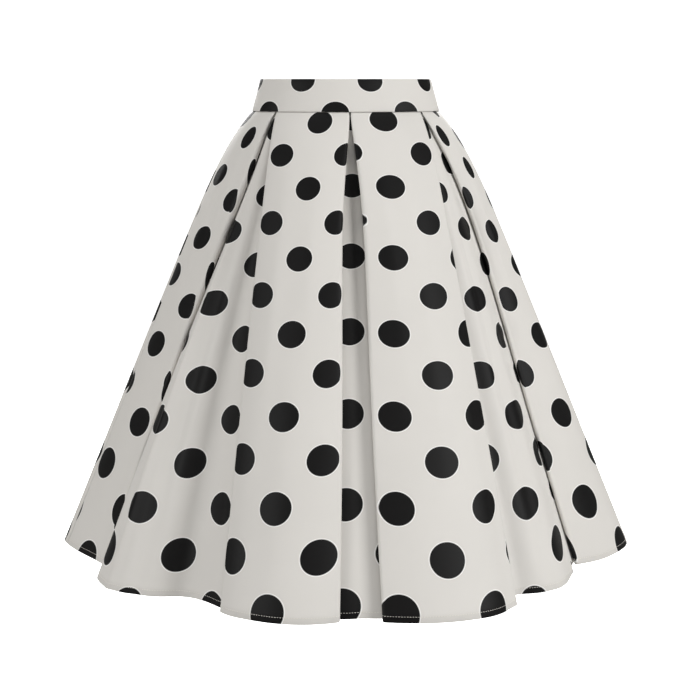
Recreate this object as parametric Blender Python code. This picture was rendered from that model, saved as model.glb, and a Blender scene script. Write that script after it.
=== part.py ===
"""Knee-length A-line skirt with inverted pleats, held open as it is when worn.

Metres, +Z up. The front faces -Y, and +X is on the right of someone who looks at the front.
The origin is the middle of the waist opening, half way up the waistband.
"""

from collections import namedtuple
from math import cos, exp, hypot, radians, sin

import bmesh
import bpy
import numpy as np
from mathutils import Matrix, Vector

for old_object in list(bpy.data.objects):
    bpy.data.objects.remove(old_object, do_unlink=True)

MM = 0.001
SEAM_GAP = 0.0003

# Waistband: a doubled, stiffened band that widens from its top edge down to the waist seam.
BAND_HEIGHT = 0.044
BAND_WALL = 0.0022
TOP_HALF_WIDTH = 0.1166
TOP_HALF_DEPTH = 0.0835
SEAM_HALF_WIDTH = 0.1285
SEAM_HALF_DEPTH = 0.0920
BAND_STEPS_PER_QUARTER = 10

# Skirt: one layer of firm cloth from the waist seam down to a level hem.
CLOTH_WALL = 0.0010
SKIRT_DROP = 0.6118
SPREAD = 0.2765
SPRING_SHARE = 0.083
SPRING_DROP = 0.075
LEVELS = 13
LEVEL_CROWDING = 1.5
CLOTH_STEP = 0.024

# Inverted pleats: two folds meet at the waist seam, with the cloth's spare width tucked behind them.
LAYER_PITCH = 0.0020
PLEAT_DEPTH = 0.038
FOLDS_APART = 0.0026
SHOWN_AT_SEAM = 0.002
SIDE_PLEAT_FROM_CENTRE = 0.1055
EARLY_DROP = 0.2

# Concealed zip at the centre back, closed, with its slider just under the band's top edge.
ZIP_TAPE_HALF_WIDTH = 0.012
ZIP_TAPE_WALL = 0.0010
ZIP_COIL_HALF_WIDTH = 0.0009
ZIP_COIL_STANDS = 0.0014
ZIP_BOTTOM = -0.185
SLIDER_BELOW_TOP = 0.0085
SLIDER_HALF_HEIGHT = 0.0042
SLIDER_HALF_WIDTH = 0.0028
SLIDER_BODY_DEPTH = 0.0024
SLIDER_NECK_HALF = 0.0005
SLIT_HALF = 0.0008
TAB_WALL = 0.0010

TOP_Z = BAND_HEIGHT / 2
SEAM_Z = -BAND_HEIGHT / 2

# A panel's hem is one run of cloth. A pleat's hem is the return behind the fold that comes first, the
# underlay, which is tucked behind that fold, shown in the gap and tucked behind the other fold, and the
# return behind that one. A hem point is a bearing in degrees (0 at the front, +90 at the right, 180 at
# the back) and a radius in millimetres. lean tells how each of a pleat's two folds strays from its
# straight line: the most in millimetres, plus towards the greater bearing, and the share of the drop where
# it does so. recess is how many millimetres the underlay sinks in behind each fold, below the waist.
Panel = namedtuple("Panel", "hem")
Pleat = namedtuple("Pleat", "from_centre lean recess first_return first_tuck shown next_tuck next_return")

LEFT_SIDE_PANEL = Panel(hem=((-90, 399), (-86, 387.5), (-82.5, 377), (-79, 367.5), (-75.6, 360), (-73.4, 357)))
LEFT_PLEAT = Pleat(
    from_centre=-SIDE_PLEAT_FROM_CENTRE,
    lean=((14, 0.16), (2, 0.2)),
    recess=(15, 13),
    first_return=((-73.3, 351.5), (-79.5, 361.5)),
    first_tuck=((-80, 357), (-77, 353), (-74, 349)),
    shown=((-71.5, 348), (-69, 355.5), (-66.5, 370.5), (-64, 381.5), (-61, 387), (-57.4, 389.5), (-53.7, 387),
           (-50, 379), (-47, 369.5), (-44.4, 357), (-42.3, 345), (-39.5, 339), (-36, 340), (-33.5, 344),
           (-31, 350.5)),
    next_tuck=((-28, 355.5), (-25, 357.5), (-21.5, 358)),
    next_return=((-21.3, 367.5), (-28.2, 361)),
)
FRONT_LEFT_PANEL = Panel(hem=((-28.4, 367.5), (-26.4, 373.5), (-22.8, 379), (-18, 383.5), (-13.5, 385),
                              (-9, 380.5), (-5.1, 372)))
CENTRE_PLEAT = Pleat(
    from_centre=0.0,
    lean=((-8, 0.25), (8, 0.25)),
    recess=(12, 12),
    first_return=((-5.1, 366), (-11.5, 373)),
    first_tuck=((-11.5, 364), (-6.5, 361)),
    shown=((-3, 360), (0, 357.5), (2.5, 359.5)),
    next_tuck=((6, 361.5), (10.5, 365)),
    next_return=((10.5, 374.5), (4.0, 368.5)),
)
FRONT_RIGHT_PANEL = Panel(hem=((4, 374.5), (8, 382), (12, 388), (16, 391.5), (20, 393), (23.8, 392.5),
                               (27, 386.5), (29.6, 378.5), (31.7, 373.5)))
RIGHT_PLEAT = Pleat(
    from_centre=SIDE_PLEAT_FROM_CENTRE,
    lean=((-2, 0.2), (24, 0.3)),
    recess=(9, 5),
    first_return=((31.4, 366), (25, 364)),
    first_tuck=((25, 353), (29, 347)),
    shown=((33.5, 343), (37, 343), (39.8, 352.5), (42.4, 360.5), (45.5, 364.5), (49, 362.5), (53, 356),
           (57, 348), (60, 340.5), (62.8, 336)),
    next_tuck=((66.6, 335), (71.2, 338)),
    next_return=((70.9, 341.5), (64.6, 337.5)),
)
RIGHT_SIDE_PANEL = Panel(hem=((64.6, 343.5), (66.3, 351.5), (69, 364), (71.5, 373), (74.5, 382), (78, 392),
                              (81.9, 401), (86, 404), (90, 403)))
SIDE_BACK_RIGHT_PANEL = Panel(hem=((90, 403), (95, 399), (100, 388), (105, 375), (110, 363), (114.5, 353)))
RIGHT_BACK_PLEAT = Pleat(
    from_centre=None,
    lean=((5, 0.2), (-2, 0.2)),
    recess=(9, 9),
    first_return=((114.5, 345.5), (109, 356)),
    first_tuck=((109, 347.5), (113.5, 338.5)),
    shown=((118, 338.5), (122, 350), (126, 361), (130, 366), (134.5, 364), (139, 354), (143, 345.5),
           (147, 343)),
    next_tuck=((151, 346), (155, 351)),
    next_return=((155, 361.5), (149.8, 366)),
)
CENTRE_BACK_RIGHT_PANEL = Panel(hem=((149.8, 373), (153.5, 381), (158, 388.5), (163, 391), (168, 388), (174, 379),
                                     (180, 372)))
CENTRE_BACK_LEFT_PANEL = Panel(hem=((-180, 372), (-174, 377.5), (-168, 387), (-163, 391), (-158, 388.5),
                                    (-154, 380.5), (-151, 373.5)))
LEFT_BACK_PLEAT = Pleat(
    from_centre=None,
    lean=((2, 0.2), (-8, 0.2)),
    recess=(10, 10),
    first_return=((-151, 366.5), (-156, 363)),
    first_tuck=((-156, 353), (-152, 348)),
    shown=((-148, 344.5), (-144, 347), (-140, 356), (-135, 367.5), (-130.5, 371), (-126, 363), (-122, 350.5),
           (-118, 339)),
    next_tuck=((-113.5, 338.5), (-109.5, 347)),
    next_return=((-109.5, 356), (-115, 346.5)),
)
SIDE_BACK_LEFT_PANEL = Panel(hem=((-115, 353.5), (-111, 363.5), (-106, 377), (-101, 390), (-96.5, 400.5),
                                  (-93, 405), (-90, 399)))


def new_material(name, colour, roughness, metallic=0.0):
    """A plain material of one colour."""
    material = bpy.data.materials.new(name)
    material.use_nodes = True
    shader = material.node_tree.nodes["Principled BSDF"]
    shader.inputs["Base Color"].default_value = (*colour, 1.0)
    shader.inputs["Roughness"].default_value = roughness
    shader.inputs["Metallic"].default_value = metallic
    return material


def add_object(name, shape, material, sharp_angle=40):
    """Turn a finished bmesh into a smooth-shaded object with its own material."""
    mesh = bpy.data.meshes.new(name)
    bmesh.ops.recalc_face_normals(shape, faces=shape.faces)
    shape.to_mesh(mesh)
    shape.free()
    mesh.materials.append(material)
    mesh.shade_smooth()
    mesh.set_sharp_from_angle(angle=radians(sharp_angle))
    piece = bpy.data.objects.new(name, mesh)
    bpy.context.collection.objects.link(piece)
    return piece


class Oval:
    """An ellipse in plan, read by the distance along it from the centre front, plus to the right."""

    def __init__(self, half_width, half_depth, count=721):
        self.half_width = half_width
        self.half_depth = half_depth
        self.angles = np.linspace(0.0, np.pi, count)
        across = half_width * np.sin(self.angles)
        along = -half_depth * np.cos(self.angles)
        steps = np.hypot(np.diff(across), np.diff(along))
        self.distances = np.concatenate([[0.0], np.cumsum(steps)])
        self.half_round = float(self.distances[-1])

    def point(self, distance, inward=0.0):
        """The plan point at this distance round, moved in from the oval by inward."""
        angle = float(np.interp(abs(distance), self.distances, self.angles))
        side = 1.0 if distance >= 0 else -1.0
        place = Vector((side * self.half_width * sin(angle), -self.half_depth * cos(angle)))
        outward = Vector((place.x / self.half_width**2, place.y / self.half_depth**2)).normalized()
        return place - outward * inward


SEAM_OVAL = Oval(SEAM_HALF_WIDTH, SEAM_HALF_DEPTH)
TOP_OVAL = Oval(TOP_HALF_WIDTH, TOP_HALF_DEPTH)
HALF_ROUND = SEAM_OVAL.half_round
SIDE_SEAM = HALF_ROUND / 2
BACK_PLEAT_FROM_CENTRE = HALF_ROUND - SIDE_PLEAT_FROM_CENTRE


def flare(down):
    """How far the cloth has come out, 0 to 1: it springs out below the band and then falls straight."""
    spring = 1.0 - exp(-down / SPRING_DROP)
    return (1.0 - SPRING_SHARE) * down + SPRING_SHARE * spring


def early(down):
    """A swell from 0 at the waist seam to 1 at EARLY_DROP, which dies away towards the hem."""
    return down / EARLY_DROP * exp(1.0 - down / EARLY_DROP)


STRAIGHT = (0.0, 1.0)


def strayed(lean, down):
    """How many millimetres a fold strays at a height: lean gives the most, and the share where it is."""
    most, most_at = lean
    return most * (down / most_at * exp(1.0 - down / most_at)) ** 2


def wall_width(down):
    """The wall measured level, so that the sloping wall is CLOTH_WALL thick across its own face."""
    steepness = (1.0 - SPRING_SHARE) + SPRING_SHARE / SPRING_DROP * exp(-down / SPRING_DROP)
    return CLOTH_WALL * hypot(1.0, SPREAD * steepness / SKIRT_DROP)


def polar(bearing, radius_mm):
    """A plan point from a bearing in degrees and a radius in millimetres."""
    turn = radians(bearing)
    return Vector((sin(turn), -cos(turn))) * radius_mm * MM


class SmoothLine:
    """A smooth curve in plan through given points, read by the distance along their chords."""

    def __init__(self, points):
        self.knots = np.array(points)
        self.chords = np.hypot(*np.diff(self.knots, axis=0).T)
        self.at_knots = np.concatenate([[0.0], np.cumsum(self.chords)])
        self.length = float(self.at_knots[-1])
        edge_order = 2 if len(self.knots) > 2 else 1
        self.slopes = np.gradient(self.knots, self.at_knots, axis=0, edge_order=edge_order)

    def point(self, distance):
        """The point at this distance, by a cubic between the two nearest given points."""
        span = int(np.searchsorted(self.at_knots, distance, side="right")) - 1
        span = min(span, len(self.knots) - 2)
        length = self.chords[span]
        u = (distance - self.at_knots[span]) / length
        start = (2 * u**3 - 3 * u**2 + 1) * self.knots[span] + (u**3 - 2 * u**2 + u) * length * self.slopes[span]
        end = (3 * u**2 - 2 * u**3) * self.knots[span + 1] + (u**3 - u**2) * length * self.slopes[span + 1]
        return Vector(start + end)


class Run:
    """A stretch of cloth between two folds or seams, on layer 0 outside, 1 behind it or 2 innermost.

    pinned gives places on the waist seam for some of the hem points, by their index, lean tells how the
    run's start and end stray, and recess how many millimetres they sink in. A run on layer 1 is the return
    behind a fold, and strays with that fold as a whole.
    """

    def __init__(self, layer, pinned, hem, step, lean=(STRAIGHT, STRAIGHT), recess=(0.0, 0.0)):
        self.layer = layer
        self.lean = lean
        self.recess = recess
        hem_line = SmoothLine([polar(*point) for point in hem])
        pinned_at = [hem_line.at_knots[index] for index in pinned]
        count = max(2, round(hem_line.length / step))
        self.pairs = []
        for share in np.linspace(0.0, 1.0, count + 1):
            distance = share * hem_line.length
            seam_at = float(np.interp(distance, pinned_at, list(pinned.values())))
            seam_point = SEAM_OVAL.point(seam_at, layer * LAYER_PITCH)
            self.pairs.append((share, seam_point, hem_line.point(distance)))

    def at(self, down):
        """The run's plan points at a height, from 0 at the waist seam to 1 at the hem."""
        start_stray, end_stray = (strayed(lean, down) for lean in self.lean)
        places = []
        for share, seam_point, hem_point in self.pairs:
            place = seam_point.lerp(hem_point, flare(down))
            outward = place.normalized()
            onward = Vector((-outward.y, outward.x))
            stray = start_stray
            if self.layer != 1:
                stray = start_stray * (1.0 - share) ** 3 + end_stray * share**3
            sunk = (self.recess[0] * (1.0 - share) + self.recess[1] * share) * early(down)
            places.append(place + (onward * stray - outward * sunk) * MM)
        return places


def piece_runs(seam_from, seam_to, parts, step):
    """The runs of one cut piece, from panels and pleats in order."""
    fold_back = FOLDS_APART / 2 + LAYER_PITCH / 2
    runs = []
    here = seam_from
    lean_here = STRAIGHT
    for index, part in enumerate(parts):
        if isinstance(part, Panel):
            last = index == len(parts) - 1
            end = seam_to if last else pleat_centre(parts[index + 1], seam_to) - fold_back
            lean = (lean_here, STRAIGHT if last else parts[index + 1].lean[0])
            runs.append(Run(0, {0: here, len(part.hem) - 1: end}, part.hem, step, lean))
            here = end
            continue
        centre = pleat_centre(part, seam_to)
        first_turn = centre - PLEAT_DEPTH
        next_turn = centre + PLEAT_DEPTH
        underlay = part.first_tuck + part.shown + part.next_tuck
        pinned = {
            0: first_turn,
            len(part.first_tuck): centre - SHOWN_AT_SEAM / 2,
            len(part.first_tuck) + len(part.shown) - 1: centre + SHOWN_AT_SEAM / 2,
            len(underlay) - 1: next_turn,
        }
        first_lean, next_lean = part.lean
        first_half, next_half = (sunk / 2 for sunk in part.recess)
        runs.append(Run(1, {0: here, 1: first_turn}, part.first_return, step, (first_lean, first_lean),
                        (first_half, first_half)))
        runs.append(Run(2, pinned, underlay, step, part.lean, part.recess))
        here = centre + fold_back
        lean_here = next_lean
        runs.append(Run(1, {0: next_turn, 1: here}, part.next_return, step, (next_lean, next_lean),
                        (next_half, next_half)))
    return runs


def pleat_centre(pleat, seam_to):
    """Where the pleat's folds meet on the waist seam. A back pleat mirrors the side front one."""
    if pleat.from_centre is not None:
        return pleat.from_centre
    return BACK_PLEAT_FROM_CENTRE if seam_to > 0 else -BACK_PLEAT_FROM_CENTRE


def ring(runs, down):
    """One level line of cloth: the runs in order, with a point at the tip of each fold between them."""
    line = list(runs[0].at(down))
    for run in runs[1:]:
        following = run.at(down)
        onward = (line[-1] - line[-2]).normalized()
        half_gap = (following[0] - line[-1]).length / 2
        tip = (line[-1] + following[0]) / 2 + onward * half_gap
        line.append(tip)
        line.extend(following)
    return line


def clear_of_seams(line, start_gap=SEAM_GAP / 2, end_gap=SEAM_GAP / 2):
    """The same line with its two ends drawn back from the seams."""
    line[0] = line[0] + (line[1] - line[0]).normalized() * start_gap
    line[-1] = line[-1] + (line[-2] - line[-1]).normalized() * end_gap
    return line


def sideways(line, offsets):
    """The line moved to its right, which is outwards, by one offset for each point, mitred at corners."""
    moved = []
    for index, place in enumerate(line):
        before = (place - line[index - 1]).normalized() if index > 0 else None
        after = (line[index + 1] - place).normalized() if index < len(line) - 1 else None
        before = before or after
        after = after or before
        right_before = Vector((before.y, -before.x))
        right_after = Vector((after.y, -after.x))
        middle = (right_before + right_after).normalized()
        mitre = 1.0 / max(middle.dot(right_before), 0.6)
        moved.append(place + middle * offsets[index] * mitre)
    return moved


def add_wall(shape, levels):
    """A closed wall through levels, each a height, an outer line and an inner line of equal count."""
    outer_rows = []
    inner_rows = []
    for height, outer_line, inner_line in levels:
        outer_rows.append([shape.verts.new((*place, height)) for place in outer_line])
        inner_rows.append([shape.verts.new((*place, height)) for place in inner_line])
    last = len(outer_rows[0]) - 1
    for upper in range(len(levels) - 1):
        lower = upper + 1
        for index in range(last):
            for rows in (outer_rows, inner_rows):
                corners = (rows[upper][index], rows[upper][index + 1], rows[lower][index + 1], rows[lower][index])
                shape.faces.new(corners)
        for index in (0, last):
            shape.faces.new((outer_rows[upper][index], inner_rows[upper][index],
                             inner_rows[lower][index], outer_rows[lower][index]))
    for row in (0, -1):
        for index in range(last):
            shape.faces.new((outer_rows[row][index], outer_rows[row][index + 1],
                             inner_rows[row][index + 1], inner_rows[row][index]))


def level_steps():
    """The share of the drop at each level, closer together where the cloth springs out."""
    return [(index / LEVELS) ** LEVEL_CROWDING for index in range(LEVELS + 1)]


def make_skirt_piece(name, seam_from, seam_to, parts, material):
    """One cut piece of the skirt, pleated and hemmed."""
    runs = piece_runs(seam_from, seam_to, parts, CLOTH_STEP)
    levels = []
    for down in level_steps():
        line = clear_of_seams(ring(runs, down))
        half = [wall_width(down) / 2] * len(line)
        outer = sideways(line, half)
        inner = sideways(line, [-width for width in half])
        levels.append((SEAM_Z - down * SKIRT_DROP, outer, inner))
    shape = bmesh.new()
    add_wall(shape, levels)
    return add_object(name, shape, material)


def band_line(height, share_from, share_to, count):
    """Points round the waistband's middle at a height, between two shares of the way from front to back."""
    down = (TOP_Z - height) / BAND_HEIGHT
    line = []
    for index in range(count + 1):
        share = share_from + (share_to - share_from) * index / count
        top_point = TOP_OVAL.point(share * TOP_OVAL.half_round)
        seam_point = SEAM_OVAL.point(share * HALF_ROUND)
        line.append(top_point.lerp(seam_point, down))
    return line


def make_band_piece(name, share_from, share_to, material, slit_at=None):
    """One piece of the waistband. Its end at slit_at parts for the neck of the zip's slider."""
    slit_bottom = TOP_Z - SLIDER_BELOW_TOP - SLIDER_HALF_HEIGHT
    heights = [TOP_Z, slit_bottom, slit_bottom - 1.5 * MM, SEAM_Z + SEAM_GAP]
    count = round(abs(share_to - share_from) * 2 * BAND_STEPS_PER_QUARTER)
    levels = []
    for height in heights:
        gaps = [SEAM_GAP / 2, SEAM_GAP / 2]
        if slit_at is not None and height >= slit_bottom:
            gaps[slit_at] = SLIT_HALF
        line = clear_of_seams(band_line(height, share_from, share_to, count), *gaps)
        outer = sideways(line, [BAND_WALL / 2] * len(line))
        inner = sideways(line, [-BAND_WALL / 2] * len(line))
        levels.append((height, outer, inner))
    shape = bmesh.new()
    add_wall(shape, levels)
    return add_object(name, shape, material)


def centre_back_face(height):
    """How far back the middle of the wall is at the centre back, and half its level thickness there."""
    if height > SEAM_Z:
        down = (TOP_Z - height) / BAND_HEIGHT
        return TOP_HALF_DEPTH + (SEAM_HALF_DEPTH - TOP_HALF_DEPTH) * down, BAND_WALL / 2
    down = (SEAM_Z - height) / SKIRT_DROP
    hem_radius = CENTRE_BACK_LEFT_PANEL.hem[0][1] * MM
    return SEAM_HALF_DEPTH + (hem_radius - SEAM_HALF_DEPTH) * flare(down), wall_width(down) / 2


SLIDER_Z = TOP_Z - SLIDER_BELOW_TOP
BAND_LEAN = (SEAM_HALF_DEPTH - TOP_HALF_DEPTH) / BAND_HEIGHT


def make_zip_tape(material):
    """The zip's closed tape and coil, flat against the inside of the two back halves."""
    top = SLIDER_Z - SLIDER_HALF_HEIGHT - SEAM_GAP
    heights = [top, SEAM_Z + 0.5 * MM, SEAM_Z - 0.5 * MM]
    steps_down = 9
    heights += [SEAM_Z + (ZIP_BOTTOM - SEAM_Z) * index / steps_down for index in range(1, steps_down + 1)]
    edge = ZIP_TAPE_HALF_WIDTH
    coil = ZIP_COIL_HALF_WIDTH
    across = [edge, 2 * edge / 3, edge / 3, 2 * coil, coil, -coil, -2 * coil, -edge / 3, -2 * edge / 3, -edge]
    levels = []
    for height in heights:
        back, half_wall = centre_back_face(height)
        steep_wall = ZIP_TAPE_WALL * (hypot(1.0, 0.6) if height < SEAM_Z else 1.0)
        outside = back - half_wall - SEAM_GAP * 1.6
        if abs(height - SEAM_Z) < MM:
            outside = back - BAND_WALL / 2 - SEAM_GAP * 1.6
        outer = []
        inner = []
        for offset in across:
            curve_in = offset**2 / (2 * 0.13)
            ridge = ZIP_COIL_STANDS if abs(offset) <= coil else 0.0
            outer.append(Vector((offset, outside - curve_in)))
            inner.append(Vector((offset, outside - curve_in - steep_wall - ridge)))
        levels.append((height, outer, inner))
    shape = bmesh.new()
    add_wall(shape, levels)
    return add_object("zip_tape", shape, material)


def zip_frame():
    """The slider's place on the band at the centre back: X across, Y out of the cloth, Z up along it."""
    back, _ = centre_back_face(SLIDER_Z)
    upward = Vector((0.0, -BAND_LEAN, 1.0)).normalized()
    outward = Vector((0.0, 1.0, BAND_LEAN)).normalized()
    face = Vector((0.0, back, SLIDER_Z)) + outward * BAND_WALL / 2
    across = outward.cross(upward)
    frame = Matrix((across, outward, upward)).transposed().to_4x4()
    frame.translation = face
    return frame


# The slider's bridge in its own frame: depths out of the cloth and heights along it, for a loop that
# stands out of the slit and holds the tab's bar.
LOOP_HALF_HEIGHT = 0.0034
LOOP_STANDS = 0.0038
LOOP_BAR = 0.0009
LOOP_HOLE_FROM = 0.0006
LOOP_CORNER = 0.0009
TAB_AXIS_OUT = 0.00175
TAB_BAR_HALF = 0.0005
TAB_AXIS_UP = -LOOP_HALF_HEIGHT + LOOP_BAR + TAB_BAR_HALF + 0.0003


def extrude_ring(shape, outer_line, inner_line, axis, half_thickness):
    """A plate with a window: two loops of equal count, joined and given a thickness along an axis."""
    sides = []
    for offset in (half_thickness, -half_thickness):
        sides.append([[shape.verts.new(point + axis * offset) for point in line] for line in (outer_line, inner_line)])
    count = len(outer_line)
    for index in range(count):
        nxt = (index + 1) % count
        for outer_loop, inner_loop in sides:
            shape.faces.new((outer_loop[index], outer_loop[nxt], inner_loop[nxt], inner_loop[index]))
        for loop in (0, 1):
            near, far = sides[0][loop], sides[1][loop]
            shape.faces.new((near[index], near[nxt], far[nxt], far[index]))


def make_zip_slider(material):
    """The slider: a body on the coil inside the band, and a loop that stands out through the slit."""
    body = bmesh.new()
    bmesh.ops.create_cube(body, size=1.0)
    size = (2 * SLIDER_HALF_WIDTH, SLIDER_BODY_DEPTH, 2 * SLIDER_HALF_HEIGHT - 1.6 * MM)
    bmesh.ops.scale(body, vec=size, verts=body.verts)
    bmesh.ops.bevel(body, geom=body.edges, offset=0.5 * MM, segments=2, profile=0.5, affect="EDGES", material=-1)
    behind = -BAND_WALL - SEAM_GAP * 1.6 - SLIDER_BODY_DEPTH / 2
    bmesh.ops.translate(body, vec=(0.0, behind, 0.0), verts=body.verts)
    slider = add_object("zip_slider", body, material)

    corner = LOOP_CORNER
    root = -BAND_WALL - SEAM_GAP * 1.6 - SLIDER_BODY_DEPTH / 2
    outline = [(root, 0.6), (LOOP_STANDS - corner, 1.0), (LOOP_STANDS, 1.0), (LOOP_STANDS, -1.0),
               (LOOP_STANDS - corner, -1.0), (root, -0.6)]
    heights = [LOOP_HALF_HEIGHT - MM * 0.4, LOOP_HALF_HEIGHT, LOOP_HALF_HEIGHT - corner,
               -LOOP_HALF_HEIGHT + corner, -LOOP_HALF_HEIGHT, -LOOP_HALF_HEIGHT + MM * 0.4]
    outer_line = [Vector((0.0, depth, height)) for (depth, _), height in zip(outline, heights)]
    hole_end = LOOP_STANDS - LOOP_BAR
    hole_top = LOOP_HALF_HEIGHT - LOOP_BAR
    hole = [(LOOP_HOLE_FROM, hole_top), (hole_end - 0.3 * MM, hole_top), (hole_end, hole_top - 0.3 * MM),
            (hole_end, -hole_top + 0.3 * MM), (hole_end - 0.3 * MM, -hole_top), (LOOP_HOLE_FROM, -hole_top)]
    inner_line = [Vector((0.0, depth, height)) for depth, height in hole]
    loop = bmesh.new()
    extrude_ring(loop, outer_line, inner_line, Vector((1.0, 0.0, 0.0)), SLIDER_NECK_HALF)
    loop_object = add_object("zip_slider_loop", loop, material)
    loop_object.hide_render = True
    loop_object.display_type = "WIRE"

    union = slider.modifiers.new("loop", "BOOLEAN")
    union.operation = "UNION"
    union.solver = "EXACT"
    union.object = loop_object
    for piece in (slider, loop_object):
        piece.matrix_world = zip_frame()
    return slider


# The tab's outline below its axis: the distance down from the axis and half the width there.
TabStation = namedtuple("TabStation", "down half_width")
TAB_OUTLINE = (
    TabStation(-0.5, 1.9), TabStation(1.5, 1.9), TabStation(4.0, 1.9), TabStation(6.5, 1.9),
    TabStation(10.0, 2.3), TabStation(14.0, 3.0), TabStation(17.5, 2.6), TabStation(19.2, 1.2),
)
TAB_WINDOW_HALF_WIDTH = 0.9
TAB_WINDOW_FROM = 0.5
TAB_WINDOW_TO = 5.4


def make_zip_pull(material):
    """The pull tab: a tear-drop plate whose top bar lies in the slider's loop."""
    right_side = [(station.half_width, -station.down) for station in TAB_OUTLINE]
    left_side = [(-across, up) for across, up in reversed(right_side)]
    outer = [Vector((across * MM, 0.0, up * MM)) for across, up in right_side + left_side]
    last = len(right_side) - 1
    inner = []
    for index in range(last + 1):
        down = TAB_WINDOW_FROM + (TAB_WINDOW_TO - TAB_WINDOW_FROM) * index / last
        inner.append((TAB_WINDOW_HALF_WIDTH, -down))
    inner += [(-across, up) for across, up in reversed(inner)]
    inner_line = [Vector((across * MM, 0.0, up * MM)) for across, up in inner]
    shape = bmesh.new()
    extrude_ring(shape, outer, inner_line, Vector((0.0, 1.0, 0.0)), TAB_WALL / 2)
    tab = add_object("zip_pull", shape, material)
    tab.matrix_world = zip_frame() @ Matrix.Translation((0.0, TAB_AXIS_OUT, TAB_AXIS_UP))
    return tab


def build():
    """Make every piece of the skirt."""
    ivory = (0.68, 0.65, 0.60)
    make_skirt_piece(
        "front", -SIDE_SEAM, SIDE_SEAM,
        (LEFT_SIDE_PANEL, LEFT_PLEAT, FRONT_LEFT_PANEL, CENTRE_PLEAT, FRONT_RIGHT_PANEL, RIGHT_PLEAT,
         RIGHT_SIDE_PANEL),
        new_material("front_cloth", ivory, 0.75),
    )
    make_skirt_piece(
        "back_right", SIDE_SEAM, HALF_ROUND,
        (SIDE_BACK_RIGHT_PANEL, RIGHT_BACK_PLEAT, CENTRE_BACK_RIGHT_PANEL),
        new_material("back_right_cloth", ivory, 0.75),
    )
    make_skirt_piece(
        "back_left", -HALF_ROUND, -SIDE_SEAM,
        (CENTRE_BACK_LEFT_PANEL, LEFT_BACK_PLEAT, SIDE_BACK_LEFT_PANEL),
        new_material("back_left_cloth", ivory, 0.75),
    )
    make_band_piece("waistband_front", -0.5, 0.5, new_material("waistband_front_cloth", ivory, 0.7))
    make_band_piece("waistband_back_right", 0.5, 1.0, new_material("waistband_right_cloth", ivory, 0.7), slit_at=1)
    make_band_piece("waistband_back_left", -1.0, -0.5, new_material("waistband_left_cloth", ivory, 0.7), slit_at=0)
    make_zip_tape(new_material("zip_tape_polyester", (0.70, 0.67, 0.62), 0.8))
    make_zip_slider(new_material("zip_slider_enamel", (0.72, 0.70, 0.66), 0.35))
    make_zip_pull(new_material("zip_pull_enamel", (0.72, 0.70, 0.66), 0.35))


build()
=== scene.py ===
# %% [markdown]
# # A dotted skirt with inverted pleats
#
# This lesson dresses a plain model of a knee-length skirt until it looks like cloth. The plain model is
# already packed: it has the sizes, the hollow form and the zip's moving tab. Here every piece of cloth is
# made again as a fine sheet, and gets its print, its hem, its stitches and its light.
#
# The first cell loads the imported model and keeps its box, so that the dressed skirt can be set against it.

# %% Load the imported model
from collections import namedtuple
from math import cos, exp, pi, radians, sin

import bmesh
import bpy
import numpy as np
from mathutils import Matrix, Vector


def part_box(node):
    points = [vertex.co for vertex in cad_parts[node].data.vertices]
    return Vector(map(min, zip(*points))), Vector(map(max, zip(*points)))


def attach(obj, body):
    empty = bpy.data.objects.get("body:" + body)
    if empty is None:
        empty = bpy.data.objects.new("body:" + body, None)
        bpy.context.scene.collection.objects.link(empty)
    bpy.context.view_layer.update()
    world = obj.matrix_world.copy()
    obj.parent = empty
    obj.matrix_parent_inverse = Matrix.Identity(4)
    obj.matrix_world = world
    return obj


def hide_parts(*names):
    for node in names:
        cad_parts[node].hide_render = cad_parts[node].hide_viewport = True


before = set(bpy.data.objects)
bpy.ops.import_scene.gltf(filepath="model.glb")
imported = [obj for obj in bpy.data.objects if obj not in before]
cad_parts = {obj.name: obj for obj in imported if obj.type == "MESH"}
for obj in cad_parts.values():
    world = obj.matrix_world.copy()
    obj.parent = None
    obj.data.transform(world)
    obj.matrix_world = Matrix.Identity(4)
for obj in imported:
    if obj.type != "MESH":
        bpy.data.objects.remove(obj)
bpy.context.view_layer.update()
MM = 0.001

# %% [markdown]
# ## Sizes that the whole garment shares
#
# A pattern cutter starts from a few measures: the waist, the depth of the band and the length of the
# skirt. The band is an oval that widens towards the waist seam, and its height is read from the packed
# model, so that the two always agree.

# %% The garment's measures
skirt_low, skirt_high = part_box("front")
TOP_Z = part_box("waistband_front")[1].z
SEAM_Z = skirt_high.z
HEM_Z = skirt_low.z
BAND_HEIGHT = TOP_Z - SEAM_Z
SKIRT_DROP = SEAM_Z - HEM_Z
BAND_WALL = 0.0022
TOP_HALF_WIDTH = 0.1166
TOP_HALF_DEPTH = 0.0835
SEAM_HALF_WIDTH = 0.1285
SEAM_HALF_DEPTH = 0.0920
SEAM_GAP = 0.0003
CLOTH_WALL = 0.0010
print("band %.1f mm deep, skirt %.1f mm below it" % (BAND_HEIGHT / MM, SKIRT_DROP / MM))
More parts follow.
